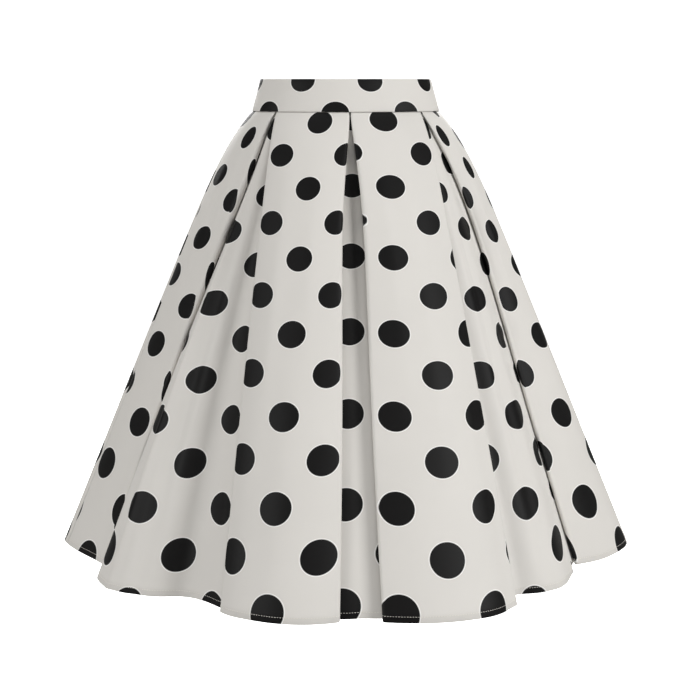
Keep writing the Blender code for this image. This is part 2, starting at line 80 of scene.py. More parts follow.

# %% [markdown]
# ## The cut: panels and inverted pleats
#
# An inverted pleat is spare cloth that is folded under from both sides, so that two folds meet. The cloth
# between the folds is the underlay. Below the waist the folds part and the underlay opens into flutes.
#
# Each panel and pleat is described by where its cloth lies at the hem: a bearing in degrees (0 at the
# front, +90 at the right, 180 at the back) and a radius in millimetres. The waist needs no table, since all
# the cloth is pinned to the band's oval there. Where the photo shows the hem, a separate program placed
# points of its edge in plan, and the tables follow them, thinned and rounded. The rest is chosen.
#
# A pleat's two folds stray a little from their straight line below the waist: `lean` says by how many
# millimetres, and at which share of the drop most. `recess` says how many the underlay sinks in behind them.
#
# `print` says which columns of dots a run's start, middle and end carry, at the waist, half way down and at
# the hem, and how far its rows sit from the level ones there. The print was laid on the panels unevenly, and
# these numbers weren't chosen by hand: a separate program fitted them, by least squares, to the centres of
# about ninety dots measured in the photo.

# %% Tables for the front
Print = namedtuple("Print", "waist middle hem rows_waist rows_middle rows_hem")
Panel = namedtuple("Panel", "name hem print")
Pleat = namedtuple("Pleat", ["name", "from_centre", "lean", "recess", "first_return", "first_tuck", "shown",
                             "next_tuck", "next_return", "print"])

SIDE_PLEAT_FROM_CENTRE = 0.1055
LEFT_SIDE_PANEL = Panel(
    name="left_side",
    hem=((-90, 399), (-86, 387.5), (-82.5, 377), (-79, 367.5), (-75.6, 360), (-73.4, 357)),
    print=Print(waist=(-10.25, -9.29, -8.01), middle=(-11.41, -10.80, -10.13), hem=(-12.57, -12.15, -11.54),
                rows_waist=(-0.01, 0.65), rows_middle=(0.08, 0.35), rows_hem=(-0.48, -0.12)),
)
LEFT_PLEAT = Pleat(
    name="left_strip",
    from_centre=-SIDE_PLEAT_FROM_CENTRE,
    lean=((14, 0.16), (2, 0.2)),
    recess=(15, 13),
    first_return=((-73.3, 351.5), (-79.5, 361.5)),
    first_tuck=((-80, 357), (-77, 353), (-74, 349)),
    shown=((-71.5, 348), (-69, 355.5), (-66.5, 370.5), (-64, 381.5), (-61, 387), (-57.4, 389.5), (-53.7, 387),
           (-50, 379), (-47, 369.5), (-44.4, 357), (-42.3, 345), (-39.5, 339), (-36, 340), (-33.5, 344),
           (-31, 350.5)),
    next_tuck=((-28, 355.5), (-25, 357.5), (-21.5, 358)),
    next_return=((-21.3, 367.5), (-28.2, 361)),
    print=Print(waist=(-5.43, -4.01, -2.69), middle=(-6.12, -5.08, -2.35), hem=(-9.36, -6.03, -2.92),
                rows_waist=(-0.33, -0.19), rows_middle=(-0.61, -0.18), rows_hem=(-0.64, -0.25)),
)
FRONT_LEFT_PANEL = Panel(
    name="front_left",
    hem=((-28.4, 367.5), (-26.4, 373.5), (-22.8, 379), (-18, 383.5), (-13.5, 385), (-9, 380.5), (-5.1, 372)),
    print=Print(waist=(-1.49, -0.35, 0.82), middle=(-1.19, 0.01, 1.29), hem=(-1.26, 0.17, 1.37),
                rows_waist=(-0.08, -0.03), rows_middle=(-0.03, 0.06), rows_hem=(-0.15, 0.05)),
)
CENTRE_PLEAT = Pleat(
    name="centre_strip",
    from_centre=0.0,
    lean=((-8, 0.25), (8, 0.25)),
    recess=(12, 12),
    first_return=((-5.1, 366), (-11.5, 373)),
    first_tuck=((-11.5, 364), (-6.5, 361)),
    shown=((-3, 360), (0, 357.5), (2.5, 359.5)),
    next_tuck=((6, 361.5), (10.5, 365)),
    next_return=((10.5, 374.5), (4.0, 368.5)),
    print=Print(waist=(2.99, 3.91, 4.82), middle=(3.04, 4.15, 5.27), hem=(3.23, 4.38, 5.20),
                rows_waist=(0.05, 0.05), rows_middle=(0.05, 0.03), rows_hem=(0.00, 0.00)),
)
FRONT_RIGHT_PANEL = Panel(
    name="front_right",
    hem=((4, 374.5), (8, 382), (12, 388), (16, 391.5), (20, 393), (23.8, 392.5), (27, 386.5), (29.6, 378.5),
         (31.7, 373.5)),
    print=Print(waist=(5.24, 6.16, 7.29), middle=(5.51, 6.81, 8.02), hem=(5.72, 7.24, 8.84),
                rows_waist=(0.05, -0.01), rows_middle=(0.07, -0.11), rows_hem=(-0.05, -0.14)),
)
RIGHT_PLEAT = Pleat(
    name="right_strip",
    from_centre=SIDE_PLEAT_FROM_CENTRE,
    lean=((-2, 0.2), (24, 0.3)),
    recess=(9, 5),
    first_return=((31.4, 366), (25, 364)),
    first_tuck=((25, 353), (29, 347)),
    shown=((33.5, 343), (37, 343), (39.8, 352.5), (42.4, 360.5), (45.5, 364.5), (49, 362.5), (53, 356),
           (57, 348), (60, 340.5), (62.8, 336)),
    next_tuck=((66.6, 335), (71.2, 338)),
    next_return=((70.9, 341.5), (64.6, 337.5)),
    print=Print(waist=(8.83, 9.96, 11.87), middle=(9.47, 11.49, 12.28), hem=(10.14, 12.86, 14.70),
                rows_waist=(-0.11, -0.38), rows_middle=(-0.15, -0.55), rows_hem=(-0.42, -0.42)),
)
RIGHT_SIDE_PANEL = Panel(
    name="right_side",
    hem=((64.6, 343.5), (66.3, 351.5), (69, 364), (71.5, 373), (74.5, 382), (78, 392), (81.9, 401), (86, 404),
         (90, 403)),
    print=Print(waist=(13.32, 15.15, 16.93), middle=(14.89, 15.93, 16.37), hem=(15.39, 16.72, 18.32),
                rows_waist=(-0.50, -0.67), rows_middle=(-0.50, -0.73), rows_hem=(-1.03, -1.22)),
)
FRONT_PARTS = (LEFT_SIDE_PANEL, LEFT_PLEAT, FRONT_LEFT_PANEL, CENTRE_PLEAT, FRONT_RIGHT_PANEL, RIGHT_PLEAT,
               RIGHT_SIDE_PANEL)
print("front:", ", ".join(part.name for part in FRONT_PARTS))

# %% [markdown]
# The two back halves meet at the zip. Each has one inverted pleat that mirrors the front's side pleat, and
# hangs a little differently, as cloth does. Nothing in the picture fixes their dots, so here `print` only
# says which column runs down the middle of each run, and the others are spread evenly on both sides of it.

# %% Tables for the back
SIDE_BACK_RIGHT_PANEL = Panel(
    name="side_back_right",
    hem=((90, 403), (95, 399), (100, 388), (105, 375), (110, 363), (114.5, 353)),
    print=1,
)
RIGHT_BACK_PLEAT = Pleat(
    name="right_back_strip",
    from_centre=None,
    lean=((5, 0.2), (-2, 0.2)),
    recess=(9, 9),
    first_return=((114.5, 345.5), (109, 356)),
    first_tuck=((109, 347.5), (113.5, 338.5)),
    shown=((118, 338.5), (122, 350), (126, 361), (130, 366), (134.5, 364), (139, 354), (143, 345.5),
           (147, 343)),
    next_tuck=((151, 346), (155, 351)),
    next_return=((155, 361.5), (149.8, 366)),
    print=5,
)
CENTRE_BACK_RIGHT_PANEL = Panel(
    name="centre_back_right",
    hem=((149.8, 373), (153.5, 381), (158, 388.5), (163, 391), (168, 388), (174, 379), (180, 372)),
    print=9,
)
CENTRE_BACK_LEFT_PANEL = Panel(
    name="centre_back_left",
    hem=((-180, 372), (-174, 377.5), (-168, 387), (-163, 391), (-158, 388.5), (-154, 380.5), (-151, 373.5)),
    print=0,
)
LEFT_BACK_PLEAT = Pleat(
    name="left_back_strip",
    from_centre=None,
    lean=((2, 0.2), (-8, 0.2)),
    recess=(10, 10),
    first_return=((-151, 366.5), (-156, 363)),
    first_tuck=((-156, 353), (-152, 348)),
    shown=((-148, 344.5), (-144, 347), (-140, 356), (-135, 367.5), (-130.5, 371), (-126, 363), (-122, 350.5),
           (-118, 339)),
    next_tuck=((-113.5, 338.5), (-109.5, 347)),
    next_return=((-109.5, 356), (-115, 346.5)),
    print=4,
)
SIDE_BACK_LEFT_PANEL = Panel(
    name="side_back_left",
    hem=((-115, 353.5), (-111, 363.5), (-106, 377), (-101, 390), (-96.5, 400.5), (-93, 405), (-90, 399)),
    print=7,
)
BACK_RIGHT_PARTS = (SIDE_BACK_RIGHT_PANEL, RIGHT_BACK_PLEAT, CENTRE_BACK_RIGHT_PANEL)
BACK_LEFT_PARTS = (CENTRE_BACK_LEFT_PANEL, LEFT_BACK_PLEAT, SIDE_BACK_LEFT_PANEL)
print("back:", ", ".join(part.name for part in BACK_RIGHT_PARTS + BACK_LEFT_PARTS))

# %% [markdown]
# ## Curves in plan
#
# A skirt hung from a waist is easiest to think of as level rings. Two kinds of curve are needed for them:
# the oval of the waist, read by the distance round it as a tape measure would, and a smooth line through
# the hem's points. Blender's own curves could do this, but a short class of each gives exact places at any
# distance, which the print and the stitches need later.

# %% The waist's oval and a smooth hem line
class Oval:
    """An ellipse in plan, read by the distance along it from the centre front, plus to the right."""

    def __init__(self, half_width, half_depth, count=721):
        self.half_width = half_width
        self.half_depth = half_depth
        self.angles = np.linspace(0.0, np.pi, count)
        across = half_width * np.sin(self.angles)
        along = -half_depth * np.cos(self.angles)
        steps = np.hypot(np.diff(across), np.diff(along))
        self.distances = np.concatenate([[0.0], np.cumsum(steps)])
        self.half_round = float(self.distances[-1])

    def point(self, distance, inward=0.0):
        """The plan point at this distance round, moved in from the oval by inward."""
        angle = float(np.interp(abs(distance), self.distances, self.angles))
        side = 1.0 if distance >= 0 else -1.0
        place = Vector((side * self.half_width * sin(angle), -self.half_depth * cos(angle)))
        outward = Vector((place.x / self.half_width**2, place.y / self.half_depth**2)).normalized()
        return place - outward * inward


class SmoothLine:
    """A smooth curve in plan through given points, read by the distance along their chords."""

    def __init__(self, points):
        self.knots = np.array(points)
        self.chords = np.hypot(*np.diff(self.knots, axis=0).T)
        self.at_knots = np.concatenate([[0.0], np.cumsum(self.chords)])
        self.length = float(self.at_knots[-1])
        edge_order = 2 if len(self.knots) > 2 else 1
        self.slopes = np.gradient(self.knots, self.at_knots, axis=0, edge_order=edge_order)

    def point(self, distance):
        """The point at this distance, by a cubic between the two nearest given points."""
        span = int(np.searchsorted(self.at_knots, distance, side="right")) - 1
        span = min(span, len(self.knots) - 2)
        length = self.chords[span]
        u = (distance - self.at_knots[span]) / length
        leaving = 2 * u**3 - 3 * u**2 + 1
        start = leaving * self.knots[span] + (u**3 - 2 * u**2 + u) * length * self.slopes[span]
        end = (1 - leaving) * self.knots[span + 1] + (u**3 - u**2) * length * self.slopes[span + 1]
        return Vector(start + end)


def polar(bearing, radius_mm):
    """A plan point from a bearing in degrees and a radius in millimetres."""
    turn = radians(bearing)
    return Vector((sin(turn), -cos(turn))) * radius_mm * MM


SEAM_OVAL = Oval(SEAM_HALF_WIDTH, SEAM_HALF_DEPTH)
TOP_OVAL = Oval(TOP_HALF_WIDTH, TOP_HALF_DEPTH)
HALF_ROUND = SEAM_OVAL.half_round
SIDE_SEAM = HALF_ROUND / 2
print("waist: %.0f mm round at the top edge, %.0f mm at the seam"
      % (2 * TOP_OVAL.half_round / MM, 2 * HALF_ROUND / MM))

# %% [markdown]
# ## How the cloth falls
#
# Below the band the cloth springs out over the tucked-in layers and then falls straight, so its radius
# follows a quick curve and then a line. The folds of a pleat also stray from their straight line in the
# first hand's breadth, and the underlay sinks in behind them: both die away towards the hem, which one
# swelling function describes.

# %% Functions of the height
SPRING_SHARE = 0.083
SPRING_DROP = 0.075
EARLY_DROP = 0.2
STRAIGHT = (0.0, 1.0)


def flare(down):
    """How far the cloth has come out, 0 to 1: it springs out below the band and then falls straight."""
    spring = 1.0 - exp(-down / SPRING_DROP)
    return (1.0 - SPRING_SHARE) * down + SPRING_SHARE * spring


def early(down):
    """A swell from 0 at the waist seam to 1 at EARLY_DROP, which dies away towards the hem."""
    return down / EARLY_DROP * exp(1.0 - down / EARLY_DROP)


def strayed(lean, down):
    """How many millimetres a fold strays at a height: lean gives the most, and the share where it is."""
    most, most_at = lean
    return most * (down / most_at * exp(1.0 - down / most_at)) ** 2


print("half way down the cloth has come out by %.0f %%" % (100 * flare(0.5)))

# %% [markdown]
# ## How the print is spaced
#
# The rows of dots are a little wider apart towards the hem, and so are the columns. Round the front each
# run's chart says where its columns lie. It is only sure where the camera sees the cloth, so no column may
# spread to more than a set multiple of its usual width on the part that turns away. The four factors of
# the row curve were fitted to the same measured dots as the charts.

# %% Rows and columns of dots
ROW_CURVE = (-0.27, 14.618, -1.605, -0.54)
COLUMN_MM_AT_WAIST = 43
COLUMN_MM_WIDER_AT_HEM = 15
WIDEST_COLUMN = 1.3


def dot_row(down):
    """The print's row at a height, by a cubic in the share of the drop."""
    return sum(factor * down**power for power, factor in enumerate(ROW_CURVE))


def column_width(down):
    """The usual width of one of the print's columns."""
    return (COLUMN_MM_AT_WAIST + COLUMN_MM_WIDER_AT_HEM * down) * MM


def columns_held(wanted, at_places, width):
    """The columns wanted along a run, counted out from its middle with none spread too wide."""
    steps = np.maximum(np.diff(wanted), np.diff(at_places) / (width * WIDEST_COLUMN))
    middle = len(wanted) // 2
    before = wanted[middle] - np.cumsum(steps[:middle][::-1])[::-1]
    after = wanted[middle] + np.cumsum(steps[middle:])
    return [*before, wanted[middle], *after]


print("rows of dots from waist to hem: %.1f" % (dot_row(1.0) - dot_row(0.0)))

# %% [markdown]
# ## Runs of cloth
#
# A ring of pleated cloth is a row of runs. A panel lies outside on layer 0, a return behind it on layer 1
# and an underlay innermost on layer 2. Each run is pinned to the waist's oval at some of its hem points
# and blends from there to the hem. Each point knows its share of the way along its run, and from that its
# place in the print.

# %% One run of cloth
CLOTH_STEP = 0.0055
LAYER_PITCH = 0.0020
PLEAT_DEPTH = 0.038
FOLDS_APART = 0.0026
SHOWN_AT_SEAM = 0.002


def lengths_along(places):
    """How far along a line of places each of them is."""
    lengths = [(after - before).length for before, after in zip(places, places[1:])]
    return np.concatenate([[0.0], np.cumsum(lengths)])


def through_three(start, middle, end, share):
    """A smooth value that is start at share 0, middle at 0.5 and end at 1."""
    return (start * 2 * (share - 0.5) * (share - 1) - middle * 4 * share * (share - 1)
            + end * 2 * share * (share - 0.5))


class Run:
    """A stretch of cloth between two folds or seams.

    pinned gives places on the waist seam for some of the hem points, by their index, lean says how the
    run's start and end stray, and recess how many millimetres they sink in.
    """

    def __init__(self, name, layer, pinned, hem, print_chart, lean, recess=(0.0, 0.0)):
        self.name = name
        self.print_chart = print_chart
        self.lean = lean
        self.recess = recess
        hem_line = SmoothLine([polar(*point) for point in hem])
        self.hem_length = hem_line.length
        pinned_at = [hem_line.at_knots[index] for index in pinned]
        count = max(6, round(hem_line.length / CLOTH_STEP))
        self.stations = []
        for share in np.linspace(0.0, 1.0, count + 1):
            distance = share * hem_line.length
            seam_at = float(np.interp(distance, pinned_at, list(pinned.values())))
            seam_point = SEAM_OVAL.point(seam_at, layer * LAYER_PITCH)
            self.stations.append((float(share), seam_point, hem_line.point(distance)))

    def at(self, down):
        """The run's plan points at a height, from 0 at the waist seam to 1 at the hem."""
        sinking = early(down)
        come_out = flare(down)
        start_stray, end_stray = (strayed(lean, down) for lean in self.lean)
        places = []
        for share, seam_point, hem_point in self.stations:
            place = seam_point.lerp(hem_point, come_out)
            outward = place.normalized()
            onward = Vector((-outward.y, outward.x))
            stray = start_stray
            if self.name != "return":
                stray = start_stray * (1.0 - share) ** 3 + end_stray * share**3
            sunk = (self.recess[0] * (1.0 - share) + self.recess[1] * share) * sinking
            raised = relief(self.name, share, down, self.hem_length)
            places.append(place + onward * stray * MM + outward * (raised - sunk) * MM)
        return places

    def printed_at(self, down):
        """The print's column and row at each of the run's points, or None where it has no chart."""
        chart = self.print_chart
        if chart is None:
            return None
        at_places = lengths_along(self.at(down))
        if not isinstance(chart, Print):
            from_middle = (at_places - at_places[-1] / 2) / column_width(down)
            return [(chart + columns_off, dot_row(down)) for columns_off in from_middle]
        columns_by_height = zip(chart.waist, chart.middle, chart.hem)
        columns = [through_three(*at_heights, down) for at_heights in columns_by_height]
        shifts_by_height = zip(chart.rows_waist, chart.rows_middle, chart.rows_hem)
        shift_start, shift_end = (through_three(*at_heights, down) for at_heights in shifts_by_height)
        shares = at_places / at_places[-1]
        wanted = [through_three(*columns, share) for share in shares]
        held = columns_held(wanted, at_places, column_width(down))
        rows_at = dot_row(down) + shift_start + (shift_end - shift_start) * shares
        return list(zip(held, rows_at))


# %% [markdown]
# ## Creases
#
# The folds and flutes are in the cut, but a hanging panel also has soft ridges that start at the waist and
# fade on the way down. Noise would spread them evenly and look like tin foil. So each is placed one by one,
# with its own length, width and height. A height below zero makes a trough, such as the shaded ones beside
# the side pleats' folds.

# %% Soft ridges and troughs, placed one by one
Ridge = namedtuple("Ridge", "run share_above share_below from_down to_down half_width height")
RIDGES = (
    Ridge("left_strip", 0.385, 0.415, 0.12, 1.20, 8, 5.0),
    Ridge("left_strip", 0.470, 0.540, 0.10, 1.15, 15, -5.5),
    Ridge("right_strip", 0.530, 0.400, 0.08, 1.12, 14, -6.0),
    Ridge("right_strip", 0.800, 0.720, 0.15, 1.25, 11, 4.5),
    Ridge("front_left", 0.30, 0.22, 0.00, 0.75, 9, 1.3),
    Ridge("front_left", 0.72, 0.62, 0.03, 0.55, 11, 1.0),
    Ridge("front_left", 0.50, 0.47, 0.40, 1.15, 16, 1.6),
    Ridge("front_right", 0.22, 0.30, 0.00, 0.60, 10, 1.1),
    Ridge("front_right", 0.60, 0.52, 0.05, 0.80, 13, 1.5),
    Ridge("front_right", 0.85, 0.80, 0.30, 1.10, 15, 1.4),
    Ridge("left_side", 0.45, 0.55, 0.00, 0.42, 7, 1.6),
    Ridge("left_side", 0.72, 0.80, 0.02, 0.30, 5, 1.5),
    Ridge("right_side", 0.35, 0.30, 0.00, 0.50, 8, 1.6),
    Ridge("right_side", 0.68, 0.60, 0.10, 0.70, 10, 1.8),
    Ridge("side_back_right", 0.35, 0.42, 0.00, 0.55, 9, 1.5),
    Ridge("side_back_right", 0.75, 0.66, 0.10, 0.85, 12, 1.4),
    Ridge("centre_back_right", 0.30, 0.36, 0.00, 0.70, 10, 1.3),
    Ridge("centre_back_right", 0.66, 0.58, 0.20, 1.10, 14, 1.5),
    Ridge("centre_back_left", 0.36, 0.42, 0.15, 1.05, 15, 1.6),
    Ridge("centre_back_left", 0.68, 0.74, 0.00, 0.60, 9, 1.2),
    Ridge("side_back_left", 0.30, 0.24, 0.05, 0.65, 11, 1.4),
    Ridge("side_back_left", 0.64, 0.70, 0.00, 0.45, 8, 1.6),
)


PANEL_NARROWS_TO = 0.4
RIDGE_FADE = 1.2


def relief(run_name, share, down, hem_length):
    """How many millimetres the cloth stands out on a run's ridges."""
    length = hem_length * (PANEL_NARROWS_TO + (1.0 - PANEL_NARROWS_TO) * down)
    raised = 0.0
    for ridge in RIDGES:
        if ridge.run != run_name:
            continue
        if not ridge.from_down <= down <= ridge.to_down:
            continue
        along = (down - ridge.from_down) / (ridge.to_down - ridge.from_down)
        centre = ridge.share_above + (ridge.share_below - ridge.share_above) * along
        off = (share - centre) * length / (ridge.half_width * MM)
        fade = sin(pi * along) ** RIDGE_FADE
        raised += ridge.height * fade * exp(-off * off)
    return raised


print("ridges:", len(RIDGES))

# %% [markdown]
# ## From runs to a ring
#
# Two runs that follow each other lie on different layers, and the cloth turns round a fold between them.
# A pressed fold is still round when it is seen from close by, so a half circle of points is added there.

# %% Runs in order, and the folds between them
FOLD_TURNS = 5


def pleat_centre(pleat, seam_to):
    """Where the pleat's folds meet on the waist seam. A back pleat mirrors the side front one."""
    if pleat.from_centre is not None:
        return pleat.from_centre
    from_centre = HALF_ROUND - SIDE_PLEAT_FROM_CENTRE
    return from_centre if seam_to > 0 else -from_centre


def piece_runs(seam_from, seam_to, parts):
    """The runs of one cut piece, from panels and pleats in order."""
    fold_back = FOLDS_APART / 2 + LAYER_PITCH / 2
    runs = []
    here = seam_from
    lean_here = STRAIGHT
    for index, part in enumerate(parts):
        if isinstance(part, Panel):
            last = index == len(parts) - 1
            end = seam_to if last else pleat_centre(parts[index + 1], seam_to) - fold_back
            lean = (lean_here, STRAIGHT if last else parts[index + 1].lean[0])
            runs.append(Run(part.name, 0, {0: here, len(part.hem) - 1: end}, part.hem, part.print, lean))
            here = end
            continue
        centre = pleat_centre(part, seam_to)
        first_turn = centre - PLEAT_DEPTH
        next_turn = centre + PLEAT_DEPTH
        underlay = part.first_tuck + part.shown + part.next_tuck
        pinned = {
            0: first_turn,
            len(part.first_tuck): centre - SHOWN_AT_SEAM / 2,
            len(part.first_tuck) + len(part.shown) - 1: centre + SHOWN_AT_SEAM / 2,
            len(underlay) - 1: next_turn,
        }
        runs.append(Run("return", 1, {0: here, 1: first_turn}, part.first_return, None,
                        (part.lean[0], STRAIGHT), (part.recess[0] / 2, part.recess[0] / 2)))
        runs.append(Run(part.name, 2, pinned, underlay, part.print, part.lean, part.recess))
        here = centre + fold_back
        lean_here = part.lean[1]
        runs.append(Run("return", 1, {0: next_turn, 1: here}, part.next_return, None,
                        (lean_here, STRAIGHT), (part.recess[1] / 2, part.recess[1] / 2)))
    return runs


def fold_round(before, after, onward):
    """Points round the half circle of a fold, from one layer's last point to the next layer's first."""
    middle = (before + after) / 2
    side = (before - after) / 2
    turns = [pi * index / (FOLD_TURNS + 1) for index in range(1, FOLD_TURNS + 1)]
    return [middle + side * cos(turn) + onward * side.length * sin(turn) for turn in turns]


def ring(runs, down):
    """One level line of cloth: the runs in order, with each fold rounded."""
    line = list(runs[0].at(down))
    for run in runs[1:]:
        following = run.at(down)
        onward = (line[-1] - line[-2]).normalized()
        line.extend(fold_round(line[-1], following[0], onward))
        line.extend(following)
    return line


# %% [markdown]
# ## The print's coordinates
#
# The dots are printed on the cloth before it is cut, so they follow every fold. A second set of
# coordinates on the mesh, a UV map, does the same: U counts the columns of dots and V counts the rows. The
# folded-under returns have no chart, and take what lies between their neighbours.

# %% Columns and rows for a whole ring
def ring_print(runs, down):
    """The print's column and row at each point of a ring."""
    known = []
    for run in runs:
        if known:
            known.extend([None] * FOLD_TURNS)
        known.extend(run.printed_at(down) or [None] * len(run.stations))
    at_known = [index for index, spot in enumerate(known) if spot is not None]
    everywhere = range(len(known))
    columns = np.interp(everywhere, at_known, [known[index][0] for index in at_known])
    rows = np.interp(everywhere, at_known, [known[index][1] for index in at_known])
    return list(zip(columns, rows))


# %% [markdown]
# ## Moving a line sideways
#
# The hem is turned up inside, and stitches lie on the outside, so both need a line that runs beside the
# cloth. A line moved sideways has to be lengthened a little at each corner, as a picture frame's mitre is.

# %% Lines beside the cloth
SHARPEST_MITRE = 0.6


def sideways(line, offset):
    """The line moved to its right, which is outwards, by an offset, mitred at corners."""
    moved = []
    for index, place in enumerate(line):
        before = (place - line[index - 1]).normalized() if index > 0 else None
        after = (line[index + 1] - place).normalized() if index < len(line) - 1 else None
        before = before or after
        after = after or before
        right_before = Vector((before.y, -before.x))
        right_after = Vector((after.y, -after.x))
        middle = (right_before + right_after).normalized()
        mitre = 1.0 / max(middle.dot(right_before), SHARPEST_MITRE)
        moved.append(place + middle * offset * mitre)
    return moved


def dipped_at_seams(line, dip, reach):
    """The line bent inwards close to its two ends, as cloth is where it is sewn, and clear of the seam."""
    inside = sideways(line, -dip)
    bent = []
    for index, place in enumerate(line):
        to_end = min((place - line[0]).length, (place - line[-1]).length)
        bent.append(place.lerp(inside[index], exp(-(to_end / reach) ** 2)))
    bent[0] = bent[0] + (bent[1] - bent[0]).normalized() * SEAM_GAP / 2
    bent[-1] = bent[-1] + (bent[-2] - bent[-1]).normalized() * SEAM_GAP / 2
    return bent


# %% [markdown]
# ## Colours and nodes
#
# Colours are easiest to pick as the hex values that a screen shows, but a shader wants linear light, so one
# function turns the first into the second. The others add nodes, sums and a relief, and make a material of
# one colour with a fine grain, which keeps each recipe short enough to read.

# %% Helpers for materials
def from_hex(code):
    """A screen colour such as "E8E4DC" as linear light with alpha."""
    channels = [int(code[i:i + 2], 16) / 255 for i in (0, 2, 4)]
    linear = [c / 12.92 if c <= 0.04045 else ((c + 0.055) / 1.055) ** 2.4 for c in channels]
    return (*linear, 1.0)


def add_node(material, kind, links=None, values=None, **settings):
    """Add a node. links gives its inputs other nodes' outputs, and values gives them constants."""
    tree = material.node_tree
    node = tree.nodes.new(kind)
    for name, setting in settings.items():
        setattr(node, name, setting)
    for name, constant in (values or {}).items():
        node.inputs[name].default_value = constant
    for name, output in (links or {}).items():
        tree.links.new(output, node.inputs[name])
    return node


def new_material(name):
    """An empty node material and its surface shader."""
    material = bpy.data.materials.new(name)
    material.use_nodes = True
    return material, material.node_tree.nodes["Principled BSDF"]


def calculate(material, operation, first, second):
    """The output of a sum on two values. The second may also be a constant."""
    if isinstance(second, float):
        node = add_node(material, "ShaderNodeMath", {0: first}, {1: second}, operation=operation)
    else:
        node = add_node(material, "ShaderNodeMath", {0: first, 1: second}, operation=operation)
    return node.outputs["Value"]


def add_relief(material, shader, height, strength, depth):
    """A fine relief on a shader from a texture's output, at most depth metres deep."""
    bump = add_node(material, "ShaderNodeBump", {"Height": height}, {"Strength": strength, "Distance": depth})
    material.node_tree.links.new(bump.outputs["Normal"], shader.inputs["Normal"])


Grain = namedtuple("Grain", "texture values strength depth")


def plain_material(name, hex_code, roughness, grain, turned=(0.0, 0.0, 0.0)):
    """A material of one colour with a grain laid in the object's own coordinates. turned is in degrees."""
    material, shader = new_material(name)
    shader.inputs["Base Color"].default_value = from_hex(hex_code)
    shader.inputs["Roughness"].default_value = roughness
    place = add_node(material, "ShaderNodeTexCoord")
    laid = add_node(material, "ShaderNodeMapping", {"Vector": place.outputs["Object"]},
                    {"Rotation": [radians(angle) for angle in turned]})
    texture = add_node(material, grain.texture, {"Vector": laid.outputs["Vector"]}, grain.values)
    add_relief(material, shader, texture.outputs["Fac"], grain.strength, grain.depth)
    return material


# %% [markdown]
# ## Printed cotton sateen
#
# The cloth is a firm sateen: its long floats lie side by side and give a soft shine along a fold, without a
# weave that shows from a step away. The ground is a warm ivory, and the dots are printed in black pigment.
# Pigment dots keep a thin unprinted edge, which looks whiter than the ground.
#
# The dots sit on a lattice where every second crossing is empty. Turning the lattice by 45 degrees makes
# every crossing a dot: half the sum and half the difference of column and row are then both whole numbers
# at a dot. What is left after rounding is the distance to the nearest dot, and one comparison draws it.

# %% The printed cloth's material
DOT_ACROSS = 0.375
DOT_DOWN = 0.350
DOT_EDGE = 0.02
PALE_RING = 0.05
UV_UNIT_MM = 47.0
THREAD_SPACING_MM = 0.5
WAVES_PER_UNIT = 20 / (2 * pi)


